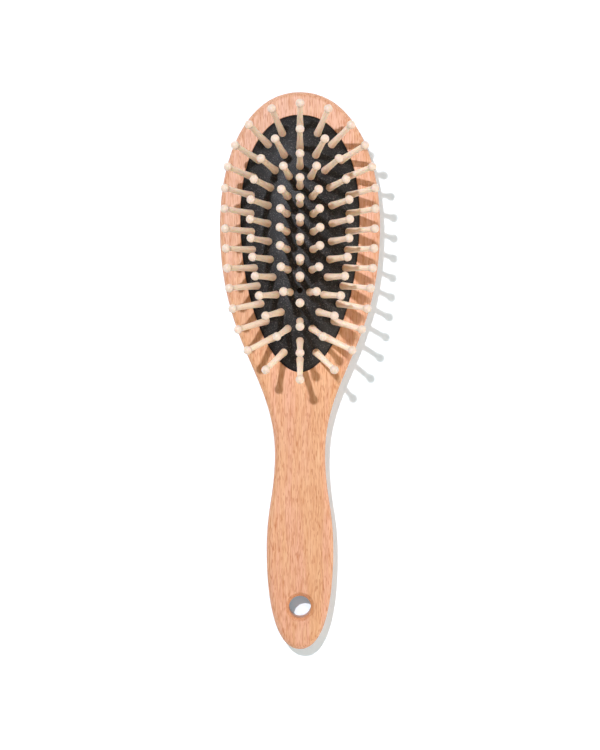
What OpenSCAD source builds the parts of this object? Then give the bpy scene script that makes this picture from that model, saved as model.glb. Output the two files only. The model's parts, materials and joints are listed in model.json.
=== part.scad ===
// Oval cushion brush: a wooden body, an air cushion of rubber and turned wooden pins.
// Millimetres. X runs across the brush, Y along it towards the head, Z up from the flat back.
// The origin is at half the length, on the surface that the back lies on.

/* [Body] */
// Overall length
body_l = 225; // [218:1:232]
// Width of the head at its widest
head_w = 64.8; // [62:0.1:70]
// Width of the neck
neck_w = 20.4; // [18:0.1:24]
// Width of the grip at its widest
grip_w = 27; // [24:0.1:32]
// Thickness of the wood
body_t = 10; // [9.6:0.1:12]
// Rounding of the edge round the face
face_r = 2.6; // [1:0.1:3]
// Rounding of the edge round the back
back_r = 5; // [2:0.1:6]

/* [Hanging hole] */
// Distance of the hole's centre from the end of the handle
hole_inset = 17.2; // [15:0.1:24]
// Bore
hole_d = 8.8; // [4:0.1:10]
// Bevel at both mouths
hole_bevel = 1.5; // [0.4:0.1:2]

/* [Cushion] */
// Width of the cushion at its widest
pad_w = 47.8; // [46:0.1:50]
// Height of the dome over its rim
dome_h = 7.2; // [6:0.1:9]
// Thickness of the rubber
rubber_t = 1.8; // [1.4:0.1:2]
// Depth of the rim below the wooden face
rim_drop = 0.3; // [0:0.1:0.5]
// Vent hole
vent_d = 2; // [1:0.1:3]

/* [Pocket] */
// Depth of the pocket under the cushion
pocket_depth = 5.5; // [5:0.1:6]
// Distance of the groove's upper side from the face
groove_drop = 2.2; // [1.5:0.1:2.4]
// Height of the groove
groove_h = 1.7; // [1.4:0.1:2]
// Depth of the groove into the wall
groove_depth = 1.2; // [0.8:0.1:1.6]
// Gap between rubber and wood
seat_gap = 0.08; // [0.05:0.01:0.15]

/* [Pins] */
// Length from the rubber to the middle of the ball tip
pin_l = 21; // [16:0.5:22]
// Ball tip
ball_d = 3.4; // [2.6:0.1:3.8]
// Shank under the ball
neck_d = 2.2; // [1.6:0.1:2.6]
// Shank at the rubber
root_d = 3.1; // [2.4:0.1:3.3]
// Foot under the rubber
foot_d = 4.4; // [3.8:0.1:4.8]
// Thickness of the foot
foot_t = 0.8; // [0.6:0.1:1.2]
// Pins in the outer ring
outer_n = 30; // [24:2:30]
// Pins in the middle ring
middle_n = 24; // [18:2:24]

/* [Hidden] */
// Places along the body
grip_y = -72.4;
neck_y = -33.7;
head_y = 58.4;
hole_y = hole_inset - body_l / 2;
vent_y = 31.9;

// The body's outline, from the end of the handle up its right side: points, headings and the
// pull of each curve at its start and its end
stations = [[0, -body_l / 2], [grip_w / 2, grip_y], [neck_w / 2, neck_y], [head_w / 2, head_y], [0, body_l / 2]];
headings = [[1, 0], [0, 1], [0, 1], [0, 1], [-1, 0]];
pulls = [[10.1, 20.3], [17.3, 16.8], [31.6, 48], [29.4, 20.9]];
outline_steps = 14;
edge_steps = 5;

// Ovals: half width, Y of the widest place, Y of both ends, roundness of the upper and the lower half
pad_oval = [pad_w / 2, 61.4, 102.8, -0.6, 2.2, 1.9];
outer_oval = [19.7, 65.8, 96.6, 4.4, 2.2, 2.1];
middle_oval = [12.9, 60, 89, 11.8, 2.2, 1.8];
pad_mid = (pad_oval[2] + pad_oval[3]) / 2;
pad_half = (pad_oval[2] - pad_oval[3]) / 2;
pad_steps = 60;
ring_steps = 720;

// Rows of the inner pins and of the pins on the centre line, which leave room for the vent
inner_rows = [77.4, 69.4, 62.4, 55.3, 48.3, 40.2, 31.2];
inner_half_w = 5.3;
inner_mid = 56;
inner_reach = 38;
centre_rows = [81.5, 73.5, 66.4, 58.9, 51.3, 43.3, 36.7, 27.2, 19.6];

// Levels
rim_z = body_t - rim_drop;
groove_top = body_t - groove_drop;
flange_top = groove_top - seat_gap;
flange_bottom = groove_top - groove_h + seat_gap;

// The dome flattens across by one power and along by another
across_power = 2.15;
along_power = 4;
dome_rings = 8;
slope_step = 0.01;

// Fits of the pins
pin_play = 0.08;
foot_gap = 0.35;
root_l = 0.6;
foot_z = -(rubber_t + foot_gap + foot_t);

beech = "#f0b690";
pale_wood = "#e9d2ac";
black_rubber = "#2b2c2e";

// Pins of a ring are numbered clockwise from the one nearest the top of the head
function pin_name(ring, i) = str("pin_", ring, i < 9 ? "_0" : "_", i + 1);

function bezier(a, b, c, d, t) =
    pow(1 - t, 3) * a + 3 * pow(1 - t, 2) * t * b + 3 * (1 - t) * t * t * c + t * t * t * d;

function side_curve(k, t) = bezier(
    stations[k],
    stations[k] + headings[k] * pulls[k][0],
    stations[k + 1] - headings[k + 1] * pulls[k][1],
    stations[k + 1],
    t);

// The body's outline, counterclockwise from the end of the handle
function body_outline() =
    let (right = [for (k = [0 : 3], i = [0 : outline_steps - 1]) side_curve(k, i / outline_steps)])
    concat(right, [stations[4]], [for (i = [len(right) - 1 : -1 : 1]) [-right[i].x, right[i].y]]);

function signed_power(v, p) = sign(v) * pow(abs(v), p);

// A point of an oval, by an angle from +X
function oval_point(oval, a) =
    let (
        upper = sin(a) > 0,
        length = upper ? oval[2] - oval[1] : oval[1] - oval[3],
        power = 2 / (upper ? oval[4] : oval[5]))
    [oval[0] * signed_power(cos(a), power), oval[1] + length * signed_power(sin(a), power)];

// Half the width of an oval at y
function oval_half_w(oval, y) =
    let (
        upper = y > oval[1],
        length = upper ? oval[2] - oval[1] : oval[1] - oval[3],
        n = upper ? oval[4] : oval[5])
    oval[0] * pow(max(0, 1 - pow(abs(y - oval[1]) / length, n)), 1 / n);

function pad_outline() = [for (i = [0 : pad_steps - 1]) oval_point(pad_oval, i * 360 / pad_steps)];

// A closed outline moved outwards by d
function grown(points, d) = let (n = len(points)) [
    for (i = [0 : n - 1])
        let (along = points[(i + 1) % n] - points[(i + n - 1) % n])
        points[i] + d * [along.y, -along.x] / norm(along)];

// Places evenly spaced round an oval, clockwise from its top
function ring_places(oval, n) =
    let (
        points = [for (i = [0 : ring_steps]) oval_point(oval, 90 - i * 360 / ring_steps)],
        lengths = [
            for (i = 0, s = 0; i <= ring_steps; s = s + norm(points[min(i + 1, ring_steps)] - points[i]), i = i + 1) s],
        xs = [for (i = [0 : ring_steps]) [lengths[i], points[i].x]],
        ys = [for (i = [0 : ring_steps]) [lengths[i], points[i].y]])
    [for (k = [0 : n - 1]) let (s = lengths[ring_steps] * k / n) [lookup(s, xs), lookup(s, ys)]];

// Height of the dome over its rim
function dome(p) =
    let (
        across = min(1, abs(p.x) / max(oval_half_w(pad_oval, p.y), slope_step)),
        along = min(1, abs(p.y - pad_mid) / pad_half))
    dome_h * (1 - pow(across, across_power)) * (1 - pow(along, along_power));

function dome_slope(p) = [
    dome(p + [slope_step, 0]) - dome(p - [slope_step, 0]),
    dome(p + [0, slope_step]) - dome(p - [0, slope_step])] / (2 * slope_step);

// Points of an outline at one height, or on the dome's outer or inner side
function at_height(points, z) = [for (p = points) [p.x, p.y, z]];

function on_outside(p) = [p.x, p.y, rim_z + dome(p)];

function on_inside(p) = [p.x, p.y, rim_z + dome(p) - rubber_t * norm([1, dome_slope(p).x, dome_slope(p).y])];

function shrunk(points, share) = [for (p = points) [0, pad_mid] + share * (p - [0, pad_mid])];

// A solid through closed rings, each counterclockwise from above, from the lowest to the uppermost.
// Each end closes on its tip, which every point of the end's ring can see.
module loft(rings, tips) {
    n = len(rings[0]);
    last = (len(rings) - 1) * n;
    sides = [
        for (k = [0 : len(rings) - 2], i = [0 : n - 1])
            let (a = k * n + i, b = k * n + (i + 1) % n)
            each [[a, a + n, b + n], [a, b + n, b]]];
    ends = [
        for (i = [0 : n - 1])
            let (j = (i + 1) % n)
            each [[last + n, i, j], [last + n + 1, last + j, last + i]]];
    polyhedron(points = concat([for (ring = rings) each ring], tips), faces = concat(sides, ends));
}

module hanging_hole() {
    r = hole_d / 2;
    mouth = r + hole_bevel + 1;
    translate([0, hole_y, 0])
        rotate_extrude($fn = 64)
            polygon([
                [0, -1], [mouth, -1], [r, hole_bevel], [r, body_t - hole_bevel], [mouth, body_t + 1], [0, body_t + 1]]);
}

module pocket() {
    translate([0, 0, body_t - pocket_depth])
        linear_extrude(pocket_depth + 1)
            polygon(grown(pad_outline(), seat_gap));
    translate([0, 0, groove_top - groove_h])
        linear_extrude(groove_h)
            polygon(grown(pad_outline(), groove_depth + seat_gap));
}

module wooden_body() {
    outline = body_outline();
    quarter = [for (i = [0 : edge_steps]) 90 * i / edge_steps];
    back = [for (a = quarter) at_height(grown(outline, back_r * (sin(a) - 1)), back_r * (1 - cos(a)))];
    face = [for (a = quarter) at_height(grown(outline, face_r * (cos(a) - 1)), body_t - face_r * (1 - sin(a)))];
    color(beech)
        difference() {
            loft(concat(back, face), [[0, 0, 0], [0, 0, body_t]]);
            pocket();
            hanging_hole();
        }
}

// Stands its children on the dome at p, square to the rubber
module on_dome(p) {
    slope = dome_slope(p);
    translate([p.x, p.y, rim_z + dome(p)])
        rotate([0, atan(norm(slope)), atan2(-slope.y, -slope.x)])
            children();
}

module pin() {
    translate([0, 0, foot_z])
        cylinder(h = foot_t, d = foot_d, $fn = 32);
    translate([0, 0, foot_z + foot_t / 2])
        cylinder(h = root_l - foot_z - foot_t / 2, d = root_d, $fn = 32);
    translate([0, 0, root_l])
        cylinder(h = pin_l - root_l, d1 = root_d, d2 = neck_d, $fn = 32);
    translate([0, 0, pin_l])
        sphere(d = ball_d, $fn = 32);
}

module pins_at(places) {
    color(pale_wood)
        for (p = places)
            on_dome(p) pin();
}

outer_places = ring_places(outer_oval, outer_n);
middle_places = ring_places(middle_oval, middle_n);
centre_places = [for (y = centre_rows) [0, y]];

// The inner pins on one side, -1 for the left and 1 for the right
function inner_places(side) = [
    for (y = inner_rows) [side * inner_half_w * sqrt(1 - pow((y - inner_mid) / inner_reach, 2)), y]];

module pins_centre() pins_at(centre_places);

module pins_inner_left() pins_at(inner_places(-1));

module pins_inner_right() pins_at(inner_places(1));

module pin_outer(i) pins_at([outer_places[i]]);

module pin_middle(i) pins_at([middle_places[i]]);

module rubber_cushion() {
    outside = pad_outline();
    inside = grown(outside, -rubber_t);
    flange = grown(outside, groove_depth);
    shares = [for (i = [1 : dome_rings]) i / dome_rings];
    ceiling = [for (share = shares) [for (p = shrunk(inside, share)) on_inside(p)]];
    dome_top = [for (i = [dome_rings - 1 : -1 : 0]) [for (p = shrunk(outside, shares[i])) on_outside(p)]];
    skirt = [
        at_height(inside, flange_bottom),
        at_height(flange, flange_bottom),
        at_height(flange, flange_top),
        at_height(outside, flange_top)];
    drill = root_d + 2 * pin_play;
    color(black_rubber)
        difference() {
            loft(concat(ceiling, skirt, dome_top), [on_inside([0, pad_mid]), on_outside([0, pad_mid])]);
            for (p = concat(outer_places, middle_places, centre_places, inner_places(-1), inner_places(1)))
                on_dome(p)
                    translate([0, 0, foot_z])
                        cylinder(h = root_l - foot_z, d = drill, $fn = 16);
            on_dome([0, vent_y])
                translate([0, 0, foot_z])
                    cylinder(h = root_l - foot_z, d = vent_d, $fn = 16);
        }
}

wooden_body();
rubber_cushion();
pins_centre();
pins_inner_left();
pins_inner_right();
for (i = [0 : outer_n - 1])
    pin_outer(i);
for (i = [0 : middle_n - 1])
    pin_middle(i);
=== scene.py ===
"""Looks of the oval cushion brush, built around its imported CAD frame.

Outlines, profiles and heights are worked out in millimetres. A finished mesh, the lamps, their
glow and the camera are in metres.
"""

import json
import math
import random
from typing import NamedTuple

import bmesh
import bpy
import numpy as np
from mathutils import Matrix, Vector


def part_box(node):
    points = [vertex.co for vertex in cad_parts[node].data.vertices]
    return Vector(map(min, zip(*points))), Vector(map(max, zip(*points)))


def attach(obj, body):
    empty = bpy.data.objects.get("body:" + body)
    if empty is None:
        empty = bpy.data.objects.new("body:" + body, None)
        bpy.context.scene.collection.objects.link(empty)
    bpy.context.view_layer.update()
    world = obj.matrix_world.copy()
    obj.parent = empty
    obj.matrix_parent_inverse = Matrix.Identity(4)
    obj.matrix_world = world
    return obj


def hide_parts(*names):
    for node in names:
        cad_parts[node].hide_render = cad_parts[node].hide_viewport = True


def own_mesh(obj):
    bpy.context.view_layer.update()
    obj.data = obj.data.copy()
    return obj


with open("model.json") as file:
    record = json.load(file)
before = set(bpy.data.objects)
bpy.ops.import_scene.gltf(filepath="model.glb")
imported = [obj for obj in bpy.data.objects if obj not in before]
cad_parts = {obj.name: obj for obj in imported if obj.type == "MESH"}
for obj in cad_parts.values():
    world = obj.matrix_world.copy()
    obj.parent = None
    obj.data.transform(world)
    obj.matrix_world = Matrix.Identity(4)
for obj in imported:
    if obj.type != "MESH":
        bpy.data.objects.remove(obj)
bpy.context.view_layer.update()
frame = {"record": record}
MM = 0.001

# ---------------------------------------------------------------- sizes from the frame

body_low, body_high = (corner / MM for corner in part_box("wooden_body"))
BODY_TOP = body_high.z
hole = next(m for m in frame["record"]["mounts"] if m["name"] == "hanging_hole")
HOLE_Y = hole["pos_m"][1] / MM
HOLE_R = hole["dims"]["r_mm"]
HOLE_BEVEL = (BODY_TOP - hole["dims"]["length_mm"]) / 2
HOLE_SIDES = 96
cushion_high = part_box("rubber_cushion")[1] / MM

# ---------------------------------------------------------------- the design's own sizes

GRIP = (13.5, -72.4)
NECK = (10.2, -33.7)
HEAD = (body_high.x, 58.4)
OUTLINE_PULLS = ((10.1, 20.3), (17.3, 16.8), (31.6, 48.0), (29.4, 20.9))
FACE_R = 2.6
BACK_R = 5.0

RUBBER_T = 1.8
ACROSS_POWER = 2.15
ALONG_POWER = 4
RIM_Z = BODY_TOP - 0.3
DOME_H = cushion_high.z - RIM_Z
POCKET_FLOOR = BODY_TOP - 5.5
GROOVE_TOP = BODY_TOP - 2.2
GROOVE_H = 1.7
GROOVE_DEPTH = 1.2
SEAT_GAP = 0.08
VENT_Y = 31.9
VENT_R = 1.0

PIN_L = 21.0
BALL_R = 1.7
NECK_R = 1.1
ROOT_R = 1.52
FOOT_R = 2.2
FOOT_T = 0.8
FOOT_GAP = 0.35


class Oval(NamedTuple):
    """Half width, Y of the widest place and of both ends, and how round each half is."""

    half_w: float
    wide_y: float
    top_y: float
    end_y: float
    top_round: float
    end_round: float

    def half(self, upper):
        """(length, roundness) of the upper or the lower half."""
        if upper:
            return self.top_y - self.wide_y, self.top_round
        return self.wide_y - self.end_y, self.end_round


PAD = Oval(cushion_high.x - GROOVE_DEPTH, 61.4, 102.8, -0.6, 2.2, 1.9)
OUTER_RING = Oval(19.7, 65.8, 96.6, 4.4, 2.2, 2.1)
MIDDLE_RING = Oval(12.9, 60.0, 89.0, 11.8, 2.2, 1.8)
PAD_MID_Y = (PAD.top_y + PAD.end_y) / 2
PAD_HALF = (PAD.top_y - PAD.end_y) / 2
PAD_SIDES = 240
CENTRE_ROWS = (81.5, 73.5, 66.4, 58.9, 51.3, 43.3, 36.7, 27.2, 19.6)
INNER_ROWS = (77.4, 69.4, 62.4, 55.3, 48.3, 40.2, 31.2)
INNER_HALF_W = 5.3
INNER_MID_Y = 56
INNER_REACH = 38
OUTER_COUNT = 30
MIDDLE_COUNT = 24

# ---------------------------------------------------------------- curves


def bezier(a, b, c, d, t):
    """Points of a cubic curve from a to d at the shares t."""
    a, b, c, d = map(np.array, (a, b, c, d))
    t = t[:, None]
    return (1 - t) ** 3 * a + 3 * (1 - t) ** 2 * t * b + 3 * (1 - t) * t**2 * c + t**3 * d


def body_outline(steps=44):
    """The body's outline, counterclockwise from the end of the handle."""
    stations = np.array([(0, body_low.y), GRIP, NECK, HEAD, (0, body_high.y)])
    headings = np.array([(1, 0), (0, 1), (0, 1), (0, 1), (-1, 0)])
    t = np.arange(steps) / steps
    right = [
        bezier(a, a + heading_a * out_pull, b - heading_b * in_pull, b, t)
        for a, b, heading_a, heading_b, (out_pull, in_pull) in zip(
            stations, stations[1:], headings, headings[1:], OUTLINE_PULLS, strict=False
        )
    ]
    right = np.vstack([*right, stations[-1:]])
    return np.vstack([right, right[-2:0:-1] * (-1, 1)])


def full_turn(count):
    """That many even angles round a circle."""
    return np.arange(count) * 2 * math.pi / count


def oval_points(oval, angles):
    """Points of an oval, by angles from +X."""
    points = []
    for a in angles:
        length, roundness = oval.half(math.sin(a) > 0)
        power = 2 / roundness
        across = math.copysign(abs(math.cos(a)) ** power, math.cos(a))
        along = math.copysign(abs(math.sin(a)) ** power, math.sin(a))
        points.append((oval.half_w * across, oval.wide_y + length * along))
    return np.array(points)


def even_points(oval, count, steps=7200):
    """Points evenly spaced round an oval, clockwise from its top."""
    fine = oval_points(oval, math.pi / 2 - np.linspace(0, 2 * math.pi, steps + 1))
    lengths = np.concatenate([[0], np.cumsum(np.linalg.norm(np.diff(fine, axis=0), axis=1))])
    at = lengths[-1] * np.arange(count) / count
    return np.stack([np.interp(at, lengths, fine[:, 0]), np.interp(at, lengths, fine[:, 1])], 1)


def grown(outline, distance):
    """A closed counterclockwise outline moved outwards."""
    along = np.roll(outline, -1, 0) - np.roll(outline, 1, 0)
    outward = np.stack([along[:, 1], -along[:, 0]], 1)
    return outline + distance * outward / np.linalg.norm(outward, axis=1, keepdims=True)


def at_height(outline, z):
    """A flat outline, lifted to a height."""
    return np.column_stack([outline, np.full(len(outline), z)])


LEAST_HALF_W = 0.01


def dome(points):
    """Height of the dome over its rim."""
    x, y = np.abs(points[:, 0]), points[:, 1]
    upper = y > PAD.wide_y
    length = np.where(upper, PAD.half(True)[0], PAD.half(False)[0])
    roundness = np.where(upper, PAD.top_round, PAD.end_round)
    reach = np.clip(1 - (np.abs(y - PAD.wide_y) / length) ** roundness, 0, 1)
    half_w = np.maximum(PAD.half_w * reach ** (1 / roundness), LEAST_HALF_W)
    across = np.minimum(x / half_w, 1)
    along = np.minimum(np.abs(y - PAD_MID_Y) / PAD_HALF, 1)
    return DOME_H * (1 - across**ACROSS_POWER) * (1 - along**ALONG_POWER)


def dome_slope(points, step=0.01):
    """How steeply the dome rises along X and along Y."""
    east, north = np.array([step, 0]), np.array([0, step])
    return np.column_stack(
        [dome(points + east) - dome(points - east), dome(points + north) - dome(points - north)]
    ) / (2 * step)


# ---------------------------------------------------------------- meshes


class Shell:
    """A mesh made of rings of vertices, given in millimetres."""

    def __init__(self):
        self.bm = bmesh.new()

    def ring(self, points):
        return [self.bm.verts.new(Vector(p) * MM) for p in points]

    def bridge(self, a, b):
        for i in range(len(a)):
            j = (i + 1) % len(a)
            self.bm.faces.new((a[i], a[j], b[j], b[i]))

    def loft(self, rings, closed=False):
        """Joins rings of points one after another, and gives the first and the last ring."""
        made = [self.ring(points) for points in rings]
        for a, b in zip(made, made[1:] + made[:1] if closed else made[1:], strict=False):
            self.bridge(a, b)
        return made[0], made[-1]

    def tip(self, ring, point):
        """Closes a ring on a point."""
        peak = self.bm.verts.new(Vector(point) * MM)
        for i in range(len(ring)):
            self.bm.faces.new((ring[i], ring[(i + 1) % len(ring)], peak))

    def cap(self, *rings):
        """Fills the flat space between an outer ring and the rings inside it."""
        pairs = [(r[i], r[(i + 1) % len(r)]) for r in rings for i in range(len(r))]
        edges = [self.bm.edges.get(pair) for pair in pairs]
        bmesh.ops.triangle_fill(self.bm, use_beauty=True, use_dissolve=False, edges=edges)

    def mesh(self, name, sharp_deg=35):
        bmesh.ops.recalc_face_normals(self.bm, faces=self.bm.faces)
        mesh = bpy.data.meshes.new(name)
        self.bm.to_mesh(mesh)
        self.bm.free()
        mesh.shade_smooth()
        mesh.set_sharp_from_angle(angle=math.radians(sharp_deg))
        return mesh


def add_object(name, mesh, material):
    obj = bpy.data.objects.new(name, mesh)
    bpy.context.scene.collection.objects.link(obj)
    if not mesh.materials:
        mesh.materials.append(material)
    return obj


def circle(radius, count, centre=(0.0, 0.0)):
    a = full_turn(count)
    return np.column_stack([centre[0] + radius * np.cos(a), centre[1] + radius * np.sin(a)])


# ---------------------------------------------------------------- materials


def shader(name):
    material = bpy.data.materials.new(name)
    material.use_nodes = True
    return material, material.node_tree, material.node_tree.nodes["Principled BSDF"]


def node(tree, kind, inputs=(), **settings):
    """Adds a node. inputs are (socket, value or output socket) pairs."""
    made = tree.nodes.new(kind)
    for key, value in settings.items():
        setattr(made, key, value)
    for socket, value in inputs:
        if isinstance(value, bpy.types.NodeSocket):
            tree.links.new(value, made.inputs[socket])
        else:
            made.inputs[socket].default_value = value
    return made


def object_place(tree):
    return node(tree, "ShaderNodeTexCoord").outputs["Object"]


def stretched(tree, cell_mm):
    """Object coordinates in which a cell of that many millimetres each way is one unit."""
    place = object_place(tree)
    scale = [1 / (c * MM) for c in cell_mm]
    made = node(tree, "ShaderNodeMapping", [("Vector", place), ("Scale", scale)])
    return made.outputs["Vector"]


def noise(tree, cell_mm, detail=2.0, roughness=0.5, distortion=0.0):
    """Soft noise from 0 to 1, with cells of that many millimetres along X, Y and Z."""
    made = node(
        tree,
        "ShaderNodeTexNoise",
        [
            ("Vector", stretched(tree, cell_mm)),
            ("Scale", 1.0),
            ("Detail", detail),
            ("Roughness", roughness),
            ("Distortion", distortion),
        ],
    )
    return made.outputs["Fac"]


def between(tree, value, low, high, to_low=0.0, to_high=1.0):
    """A smooth step from to_low to to_high, as the value goes from low to high."""
    made = node(
        tree,
        "ShaderNodeMapRange",
        [
            ("Value", value),
            ("From Min", low),
            ("From Max", high),
            ("To Min", to_low),
            ("To Max", to_high),
        ],
        interpolation_type="SMOOTHSTEP",
    )
    return made.outputs["Result"]


def mixed(tree, share, a, b, blend="MIX"):
    """Colour a with that share of colour b mixed or blended in."""
    made = node(tree, "ShaderNodeMix", data_type="RGBA", blend_type=blend)
    for socket, value in ((0, share), (6, a), (7, b)):
        if isinstance(value, bpy.types.NodeSocket):
            tree.links.new(value, made.inputs[socket])
        else:
            made.inputs[socket].default_value = value
    return made.outputs[2]


def axes(tree, vector):
    """The X, Y and Z of a vector."""
    made = node(tree, "ShaderNodeSeparateXYZ", [("Vector", vector)])
    return made.outputs["X"], made.outputs["Y"], made.outputs["Z"]


def length_of(tree, vector):
    made = node(tree, "ShaderNodeVectorMath", [(0, vector)], operation="LENGTH")
    return made.outputs["Value"]


def math_node(tree, operation, a, b):
    return node(tree, "ShaderNodeMath", [(0, a), (1, b)], operation=operation).outputs["Value"]


def colour(hex_code):
    """A colour as linear RGBA, from its sRGB hex code."""
    channels = [int(hex_code[i : i + 2], 16) / 255 for i in (1, 3, 5)]
    return [c / 12.92 if c <= 0.04045 else ((c + 0.055) / 1.055) ** 2.4 for c in channels] + [1.0]


def bumped(tree, bsdf, height, depth_mm, strength):
    """Gives the surface a relief of that depth."""
    made = node(
        tree,
        "ShaderNodeBump",
        [("Height", height), ("Distance", depth_mm * MM), ("Strength", strength)],
    )
    tree.links.new(made.outputs["Normal"], bsdf.inputs["Normal"])


PINK_FROM_Y = 0
PINK_TO_Y = 100
BEVEL_SHADE_W = 0.9


def beech():
    """Steamed beech: a peach ground that is pinker towards the head, with soft bands, fibres
    and orange flecks along Y, and a darker ring of painted shade on the hanging hole's bevel and
    bore.
    """
    material, tree, bsdf = shader("beech_wood")
    bands = noise(tree, (6, 60, 6), detail=2)
    ground = mixed(tree, between(tree, bands, 0.38, 0.62), colour("#D8A379"), colour("#D8A082"))
    across, along, _ = axes(tree, object_place(tree))
    pink = between(tree, along, PINK_FROM_Y * MM, PINK_TO_Y * MM, 0, 0.75)
    ground = mixed(tree, pink, ground, colour("#D6A58C"))
    streaks = noise(tree, (0.75, 14, 0.75), detail=2.5, roughness=0.6, distortion=0.2)
    ground = mixed(tree, between(tree, streaks, 0.46, 0.64, 0, 0.5), ground, colour("#C58757"))
    light = noise(tree, (0.55, 10, 0.55), detail=2, distortion=0.2)
    ground = mixed(tree, between(tree, light, 0.52, 0.68, 0, 0.45), ground, colour("#E2B88F"))
    fibres = noise(tree, (0.36, 7, 0.36), detail=2, roughness=0.6, distortion=0.2)
    ground = mixed(tree, between(tree, fibres, 0.5, 0.66, 0, 0.5), ground, colour("#BC7A4A"))
    rays = noise(tree, (0.4, 4.6, 0.4), detail=0.6, distortion=0.15)
    ray = between(tree, rays, 0.56, 0.68)
    ground = mixed(tree, math_node(tree, "MULTIPLY", ray, 0.42), ground, colour("#B06733"))
    dashes = noise(tree, (0.46, 2.8, 0.46), detail=0, distortion=0.1)
    dash = between(tree, dashes, 0.63, 0.7)
    ground = mixed(tree, math_node(tree, "MULTIPLY", dash, 0.5), ground, colour("#AC6230"))
    # Painted shade: a darker ring on the hanging hole's bevel and in its bore.
    past_hole = math_node(tree, "ADD", along, -HOLE_Y * MM)
    from_hole = node(tree, "ShaderNodeCombineXYZ", [("X", across), ("Y", past_hole)])
    lip = (HOLE_R + HOLE_BEVEL) * MM
    radius = length_of(tree, from_hole.outputs["Vector"])
    bevel = between(tree, radius, lip, lip - BEVEL_SHADE_W * MM, 0, 0.28)
    ground = mixed(tree, bevel, ground, colour("#BC7238"))
    tree.links.new(ground, bsdf.inputs["Base Color"])
    tree.links.new(between(tree, fibres, 0.3, 0.7, 0.42, 0.56), bsdf.inputs["Roughness"])
    sunk = math_node(tree, "MULTIPLY", ray, -0.6)
    raised = math_node(tree, "MULTIPLY", fibres, 0.5)
    bumped(tree, bsdf, math_node(tree, "ADD", sunk, raised), 0.05, 0.6)
    return material


# Heights of the painted shade at the root and of the painted shade on the ball.
ROOT_SHADE_H = 9
TIP_SHADE_FROM = PIN_L - 2.5
TIP_SHADE_TO = PIN_L - 0.5


def pin_wood():
    """Pale turned wood: fibres along the pin and short rays, with painted warm shade at the root
    and painted shade that dims the ball at the tip.
    """
    material, tree, bsdf = shader("pin_wood")
    fibres = noise(tree, (0.3, 0.3, 5), detail=3, roughness=0.6)
    ground = mixed(tree, between(tree, fibres, 0.35, 0.7), colour("#FEF1E1"), colour("#F8E5D0"))
    rays = noise(tree, (0.25, 0.25, 1.8), detail=1)
    ground = mixed(tree, between(tree, rays, 0.62, 0.7, 0, 0.4), ground, colour("#D2AE8A"))
    own = node(tree, "ShaderNodeObjectInfo").outputs["Random"]
    tone = mixed(tree, between(tree, own, 0, 1), colour("#F6DDB6"), colour("#F7D8C4"))
    ground = mixed(tree, 0.18, ground, tone, "MULTIPLY")
    _, _, height = axes(tree, object_place(tree))
    # Painted warm shade and bounce light, darkening the pin towards its root.
    root = between(tree, height, 0, ROOT_SHADE_H * MM, 0.42, 0)
    ground = mixed(tree, root, ground, colour("#F0D2B4"), "MULTIPLY")
    # Painted shade: the ball is made darker to tone down the light its top catches.
    tip = between(tree, height, TIP_SHADE_FROM * MM, TIP_SHADE_TO * MM, 0, 0.75)
    ground = mixed(tree, tip, ground, colour("#D1BDAC"))
    tree.links.new(ground, bsdf.inputs["Base Color"])
    tree.links.new(between(tree, fibres, 0.3, 0.7, 0.33, 0.45), bsdf.inputs["Roughness"])
    bsdf.inputs["Subsurface Weight"].default_value = 0.3
    bsdf.inputs["Subsurface Radius"].default_value = (1, 0.5, 0.22)
    bsdf.inputs["Subsurface Scale"].default_value = 1.2 * MM
    bumped(tree, bsdf, fibres, 0.03, 0.5)
    return material


RIM_SHADE_H = 1.1


def black_rubber():
    """Moulded rubber with a fine pebbled grain and a little dust, and painted shade near the rim.
    """
    material, tree, bsdf = shader("black_rubber")
    pebbles = node(
        tree,
        "ShaderNodeTexVoronoi",
        [("Vector", stretched(tree, (0.6, 0.6, 0.6))), ("Scale", 1.0), ("Randomness", 0.7)],
        feature="F1",
    ).outputs["Distance"]
    cloud = noise(tree, (7, 7, 7), detail=3)
    speck = noise(tree, (0.45, 0.45, 0.45), detail=1)
    grit = noise(tree, (0.8, 0.8, 0.8), detail=2)
    ground = mixed(tree, between(tree, cloud, 0.35, 0.65), colour("#141212"), colour("#1C1A19"))
    ground = mixed(tree, between(tree, pebbles, 0.42, 0.08, 0, 0.45), ground, colour("#343130"))
    ground = mixed(tree, between(tree, grit, 0.52, 0.4, 0, 0.6), ground, colour("#0E0D0D"))
    ground = mixed(tree, between(tree, speck, 0.57, 0.68, 0, 0.6), ground, colour("#625E5C"))
    _, _, height = axes(tree, object_place(tree))
    # Painted shade: the rubber is darkened just above the rim, in the gap by the wood.
    rim_shade = between(tree, height, RIM_Z * MM, (RIM_Z + RIM_SHADE_H) * MM, 0.9, 0)
    ground = mixed(tree, rim_shade, ground, colour("#080606"))
    tree.links.new(ground, bsdf.inputs["Base Color"])
    tree.links.new(between(tree, cloud, 0.3, 0.7, 0.5, 0.62), bsdf.inputs["Roughness"])
    bsdf.inputs["Specular IOR Level"].default_value = 0.3
    bumped(tree, bsdf, pebbles, 0.1, 0.6)
    return material


FLOOR_GLOW = 0.17
FLOOR_TINT = (0.28, 0.92, 1.3, 1)
GLOW_NEAR = 0.3
GLOW_FAR = 1.2
WALL_GLOW = 0.44
WALL_TINT = (1, 0.94, 0.85, 1)
WALL_GLOW_TOP = 0.5
WALL_SIDE = 1.2


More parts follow.
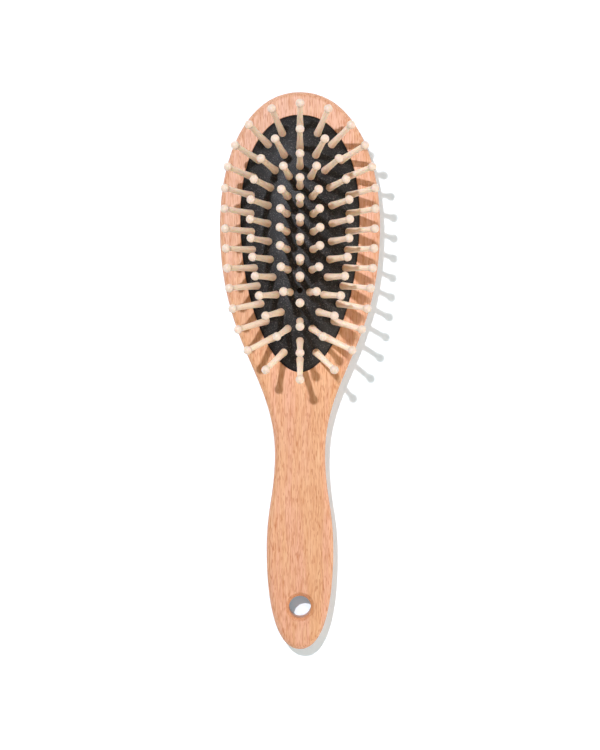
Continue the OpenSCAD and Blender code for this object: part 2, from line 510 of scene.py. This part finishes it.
def tent_white():
    """White cloth of a light tent. The floor glows a little round the middle. The walls glow
    more, and most on the right and near the handle's end.
    """
    material, tree, bsdf = shader("tent_white")
    shade = between(tree, noise(tree, (60, 60, 60), detail=4), 0.3, 0.7)
    white = mixed(tree, shade, (0.9, 0.9, 0.9, 1), (0.915, 0.915, 0.915, 1))
    tree.links.new(white, bsdf.inputs["Base Color"])
    bsdf.inputs["Roughness"].default_value = 0.8
    bsdf.inputs["Specular IOR Level"].default_value = 0.2
    place = object_place(tree)
    distance = length_of(tree, place)
    floor_glow = between(tree, distance, GLOW_NEAR, GLOW_FAR, FLOOR_GLOW, 0)
    across, along, height = axes(tree, place)
    wall_glow = between(tree, height, 0, WALL_GLOW_TOP, 0, WALL_GLOW)
    to_right = between(tree, across, -WALL_SIDE, WALL_SIDE, 0.3, 1.7)
    to_handle = between(tree, along, -WALL_SIDE, WALL_SIDE, 1.5, 0.5)
    for factor in (to_right, to_handle):
        wall_glow = math_node(tree, "MULTIPLY", wall_glow, factor)
    tint = mixed(tree, between(tree, distance, GLOW_NEAR, GLOW_FAR), FLOOR_TINT, WALL_TINT)
    tree.links.new(tint, bsdf.inputs["Emission Color"])
    tree.links.new(math_node(tree, "ADD", floor_glow, wall_glow), bsdf.inputs["Emission Strength"])
    return material


# ---------------------------------------------------------------- the wooden body


def quarter_turn(steps):
    return np.radians(np.linspace(0, 90, steps))


def make_body(material):
    """Head, neck and handle in one piece, with the grooved pocket and the bevelled hanging hole."""
    shell = Shell()
    outline = body_outline()
    back = [(BACK_R * (math.sin(a) - 1), BACK_R * (1 - math.cos(a))) for a in quarter_turn(13)]
    face = [
        (FACE_R * (math.cos(a) - 1), BODY_TOP - FACE_R * (1 - math.sin(a)))
        for a in quarter_turn(10)
    ]
    back_edge, face_edge = shell.loft([at_height(grown(outline, out), z) for out, z in back + face])

    pad = oval_points(PAD, full_turn(PAD_SIDES))
    groove_bottom = GROOVE_TOP - GROOVE_H
    # The first three points ease the pocket's mouth.
    pocket = [
        (SEAT_GAP + 0.28, BODY_TOP),
        (SEAT_GAP + 0.1, BODY_TOP - 0.06),
        (SEAT_GAP, BODY_TOP - 0.24),
        (SEAT_GAP, GROOVE_TOP),
        (GROOVE_DEPTH + SEAT_GAP, GROOVE_TOP),
        (GROOVE_DEPTH + SEAT_GAP, groove_bottom),
        (SEAT_GAP, groove_bottom),
        (SEAT_GAP, POCKET_FLOOR),
    ]
    mouth, pocket_floor = shell.loft([at_height(grown(pad, out), z) for out, z in pocket])
    shell.cap(pocket_floor)

    lip = HOLE_R + HOLE_BEVEL
    # The bevel, with both of its edges eased.
    half_profile = [
        (lip + 0.14, 0.0),
        (lip - 0.06, 0.07),
        (HOLE_R + 0.08, HOLE_BEVEL - 0.08),
        (HOLE_R, HOLE_BEVEL + 0.12),
    ]
    profile = [(r, BODY_TOP - depth) for r, depth in half_profile] + half_profile[::-1]
    bore = [at_height(circle(r, HOLE_SIDES, (0, HOLE_Y)), z) for r, z in profile]
    front_hole, back_hole = shell.loft(bore)
    shell.cap(face_edge, mouth, front_hole)
    shell.cap(back_edge, back_hole)

    obj = add_object("beech_body", shell.mesh("beech_body", sharp_deg=40), material)
    weighted = obj.modifiers.new("flat_faces", "WEIGHTED_NORMAL")
    weighted.keep_sharp = True
    return obj


# ---------------------------------------------------------------- the pins


def arc(radius, centre_z, start_deg, end_deg, steps):
    """Points of a circle about the axis, by angles above the horizontal."""
    return [
        (radius * math.cos(a), centre_z + radius * math.sin(a))
        for a in np.radians(np.linspace(start_deg, end_deg, steps))
    ]


FOOT_EASE = 0.18
SHANK_START = 0.3
SHANK_END = PIN_L - BALL_R - 0.25
FLARE_POWER = 2.2
PIN_SIDES = 32


def pin_profile():
    """(radius, height) from the foot's underside to the top of the ball, in a pin's own frame."""
    foot_top = -(RUBBER_T + FOOT_GAP)
    foot_bottom = foot_top - FOOT_T
    foot = [
        (FOOT_R - FOOT_EASE, foot_bottom),
        (FOOT_R, foot_bottom + FOOT_EASE),
        (FOOT_R, foot_top - FOOT_EASE),
        (FOOT_R - FOOT_EASE, foot_top),
        (ROOT_R + FOOT_EASE, foot_top),
        (ROOT_R, foot_top + FOOT_EASE),
    ]
    shank = [
        (
            NECK_R + (ROOT_R - NECK_R) * (1 - share) ** FLARE_POWER,
            SHANK_START + (SHANK_END - SHANK_START) * share,
        )
        for share in np.linspace(0, 1, 16)
    ]
    under_ball = [(NECK_R + 0.03, PIN_L - 1.42), (NECK_R + 0.1, PIN_L - 1.28)]
    ball = arc(BALL_R, PIN_L, -42, 82, 15)
    dimple = [(0.15, PIN_L + BALL_R - 0.03)]
    return foot + shank + under_ball + ball + dimple


def make_pin_mesh(material):
    shell = Shell()
    profile = pin_profile()
    low, high = shell.loft([at_height(circle(r, PIN_SIDES), z) for r, z in profile])
    shell.tip(low, (0, 0, profile[0][1]))
    shell.tip(high, (0, 0, profile[-1][1] - 0.02))
    mesh = shell.mesh("turned_pin", sharp_deg=50)
    mesh.materials.append(material)
    return mesh


def stand_on_dome(p, turn):
    """The placing of a pin at p: square to the dome, and turned about its own axis."""
    slope = dome_slope(p[None])[0]
    normal = Vector((-slope[0], -slope[1], 1)).normalized()
    height = RIM_Z + dome(p[None])[0]
    upright = normal.to_track_quat("Z", "Y").to_matrix().to_4x4()
    return Matrix.Translation(Vector((*p, height)) * MM) @ upright @ Matrix.Rotation(turn, 4, "Z")


def pin_places():
    """{CAD node: places of its pins}, in millimetres."""
    places = {"pins_centre": np.array([(0.0, y) for y in CENTRE_ROWS])}
    reach = [(y - INNER_MID_Y) / INNER_REACH for y in INNER_ROWS]
    inner = np.column_stack([[INNER_HALF_W * math.sqrt(1 - r**2) for r in reach], INNER_ROWS])
    places["pins_inner_left"] = inner * (-1, 1)
    places["pins_inner_right"] = inner
    rings = (("outer", OUTER_RING, OUTER_COUNT), ("middle", MIDDLE_RING, MIDDLE_COUNT))
    for ring, oval, count in rings:
        for i, p in enumerate(even_points(oval, count), 1):
            places[f"pin_{ring}_{i:02d}"] = p[None]
    return places


TURN_SEED = 7


def make_pins(material, places):
    """All pins share one mesh, and each is turned so that its grain differs."""
    mesh = make_pin_mesh(material)
    bodies = frame["record"]["behaviour"]["bodies"]
    body_of_node = {name: body for body, names in bodies.items() for name in names}
    turns = random.Random(TURN_SEED)
    for cad_node, spots in places.items():
        for i, p in enumerate(spots, 1):
            suffix = f"_{i}" if len(spots) > 1 else ""
            pin = add_object(f"turned_{cad_node}{suffix}", mesh, material)
            pin.matrix_world = stand_on_dome(p, turns.uniform(0, 2 * math.pi))
            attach(pin, body_of_node[cad_node])
            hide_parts(cad_node)


# ---------------------------------------------------------------- the rubber cushion

DIMPLE_DEPTH = 0.28
DIMPLE_R = 1.9
DIMPLE_FADE = 12
SKIRT_TOP = RIM_Z - 0.9
VENT_FLARE = 0.6
VENT_SIDES = 41
FLANGE_EASE = 0.15


def dimples(points, pins):
    """How far the rubber is drawn down beside each pin."""
    d2 = ((points[:, None] - pins[None]) ** 2).sum(-1).min(1)
    return DIMPLE_DEPTH * np.exp(-d2 / DIMPLE_R**2)


def make_dome(material, pins):
    """The dome with its two sides and its vent, drawn down a little beside each pin."""
    shell = Shell()
    count, steps = 420, 96
    outside = oval_points(PAD, full_turn(count))
    inside = grown(outside, -RUBBER_T)
    middle = np.array([0, PAD_MID_Y])
    shares = np.linspace(0, 1, steps + 1)[1:]
    rings = []
    for share in shares[::4]:
        points = middle + share * (inside - middle)
        thickness = RUBBER_T * np.sqrt(1 + (dome_slope(points) ** 2).sum(1))
        rings.append(np.column_stack([points, RIM_Z + dome(points) - thickness]))
    rings += [at_height(inside, SKIRT_TOP), at_height(outside, SKIRT_TOP)]
    for share in shares[::-1]:
        points = middle + share * (outside - middle)
        fade = np.clip((1 - share) * DIMPLE_FADE, 0, 1)
        rings.append(np.column_stack([points, RIM_Z + dome(points) - fade * dimples(points, pins)]))
    under, over = shell.loft(rings)
    peak = RIM_Z + dome(middle[None])[0]
    shell.tip(under, (*middle, peak - RUBBER_T))
    shell.tip(over, (*middle, peak))
    obj = add_object("rubber_dome", shell.mesh("rubber_dome", sharp_deg=50), material)
    return with_vent(obj)


def with_vent(obj):
    """Cuts the countersunk vent. Its odd number of sides keeps its corners off the dome's edges."""
    shell = Shell()
    top = RIM_Z + DOME_H
    profile = ((VENT_R, top - 6), (VENT_R, top - 0.5), (VENT_R + VENT_FLARE, top + 0.4))
    low, high = shell.loft([at_height(circle(r, VENT_SIDES, (0, VENT_Y)), z) for r, z in profile])
    shell.cap(low)
    shell.cap(high)
    cutter = add_object("vent_cutter", shell.mesh("vent_cutter"), obj.data.materials[0])
    cut = obj.modifiers.new("vent", "BOOLEAN")
    cut.operation, cut.solver, cut.object = "DIFFERENCE", "EXACT", cutter
    bpy.context.view_layer.update()
    evaluated = obj.evaluated_get(bpy.context.evaluated_depsgraph_get())
    mesh = bpy.data.meshes.new_from_object(evaluated)
    obj.modifiers.clear()
    obj.data = mesh
    bpy.data.objects.remove(cutter)
    return obj


def make_seat(material):
    """The skirt that lines the pocket and the flange in its groove."""
    shell = Shell()
    outside = oval_points(PAD, full_turn(PAD_SIDES))
    flange_top = GROOVE_TOP - SEAT_GAP
    flange_bottom = GROOVE_TOP - GROOVE_H + SEAT_GAP
    profile = [
        (-RUBBER_T, SKIRT_TOP),
        (-RUBBER_T, flange_bottom),
        (GROOVE_DEPTH - FLANGE_EASE, flange_bottom),
        (GROOVE_DEPTH, flange_bottom + FLANGE_EASE),
        (GROOVE_DEPTH, flange_top - FLANGE_EASE),
        (GROOVE_DEPTH - FLANGE_EASE, flange_top),
        (0, flange_top),
        (0, SKIRT_TOP),
    ]
    shell.loft([at_height(grown(outside, out), z) for out, z in profile], closed=True)
    return add_object("rubber_seat", shell.mesh("rubber_seat"), material)


def make_cushion(material, pins):
    """The dome, which gets a mesh of its own, and the seat that stays in the wood. The real dome
    squashes to the depth of the press.
    """
    seat = make_seat(material)
    dome_piece = make_dome(material, pins)
    for piece in (seat, dome_piece):
        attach(piece, "brush")
        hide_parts("rubber_cushion")
    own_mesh(dome_piece)


# ---------------------------------------------------------------- floor, light and camera

FLOOR_FLAT = 2200
FLOOR_BEND = 500
WALL_H = 1500
FLOOR_SIDES = 96


def make_floor():
    """A wide pale floor that curves up into a wall far from the brush."""
    shell = Shell()
    profile = [(FLOOR_FLAT * share, 0) for share in (0.02, 0.1, 0.3, 0.6, 1)]
    profile += [
        (FLOOR_FLAT + FLOOR_BEND * math.sin(a), FLOOR_BEND * (1 - math.cos(a)))
        for a in quarter_turn(13)[1:]
    ]
    profile.append((FLOOR_FLAT + FLOOR_BEND, FLOOR_BEND + WALL_H))
    low, _ = shell.loft([at_height(circle(r, FLOOR_SIDES), z) for r, z in profile])
    shell.tip(low, (0, 0, 0))
    floor = add_object("floor", shell.mesh("floor"), tent_white())


class Lamp(NamedTuple):
    """A round area light: its place, what it points at, its width, its power and its colour."""

    name: str
    place: tuple
    target: tuple
    size: float
    power: float
    tint: tuple


# The key points past the handle, so that its beam falls off evenly over the brush.
LAMPS = (
    Lamp("key", (-0.195, 0.293, 0.8), (0, -0.75, 0), 0.036, 7.3, (0.97, 1.03, 1.15)),
    Lamp("softbox", (0.3, -0.2, 1.9), (0, 0, 0), 1.4, 2.5, (1, 0.9, 0.76)),
    Lamp("fill", (0.95, -0.35, 0.4), (0, 0, 0), 0.8, 3.1, (1, 0.9, 0.76)),
)
AIR_TINT = (1, 0.88, 0.72, 1)
AIR_STRENGTH = 0.18


def make_light():
    for lamp in LAMPS:
        light = bpy.data.lights.new(lamp.name, "AREA")
        light.shape, light.size = "DISK", lamp.size
        light.energy, light.color = lamp.power, lamp.tint
        obj = bpy.data.objects.new(lamp.name, light)
        bpy.context.scene.collection.objects.link(obj)
        obj.location = lamp.place
        beam = Vector(lamp.target) - Vector(lamp.place)
        obj.rotation_euler = beam.to_track_quat("-Z", "Y").to_euler()
    world = bpy.data.worlds.new("studio")
    world.use_nodes = True
    background = world.node_tree.nodes["Background"]
    background.inputs["Color"].default_value = AIR_TINT
    background.inputs["Strength"].default_value = AIR_STRENGTH
    bpy.context.scene.world = world
    bpy.context.scene.view_settings.view_transform = "Standard"


CAMERA_HEIGHT = 0.691
CAMERA_Y = -0.0018
SEEN_HEIGHT = 0.303
SEEN_AT_Z = (BODY_TOP - FACE_R) * MM


def make_camera():
    """Straight above the brush, with the head up. SEEN_HEIGHT of the plane of the brush's widest
    outline fills the picture from top to bottom.
    """
    data = bpy.data.cameras.new("camera")
    data.lens = data.sensor_width / 2 * (CAMERA_HEIGHT - SEEN_AT_Z) / (SEEN_HEIGHT / 2)
    data.clip_start, data.clip_end = 0.01, 20
    camera = bpy.data.objects.new("camera", data)
    camera.location = (0, CAMERA_Y, CAMERA_HEIGHT)
    bpy.context.scene.collection.objects.link(camera)
    bpy.context.scene.camera = camera


# ---------------------------------------------------------------- assembly

make_camera()
make_light()
make_floor()

body = make_body(beech())
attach(body, "brush")
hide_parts("wooden_body")

all_places = pin_places()
make_pins(pin_wood(), all_places)
make_cushion(black_rubber(), np.vstack(list(all_places.values())))
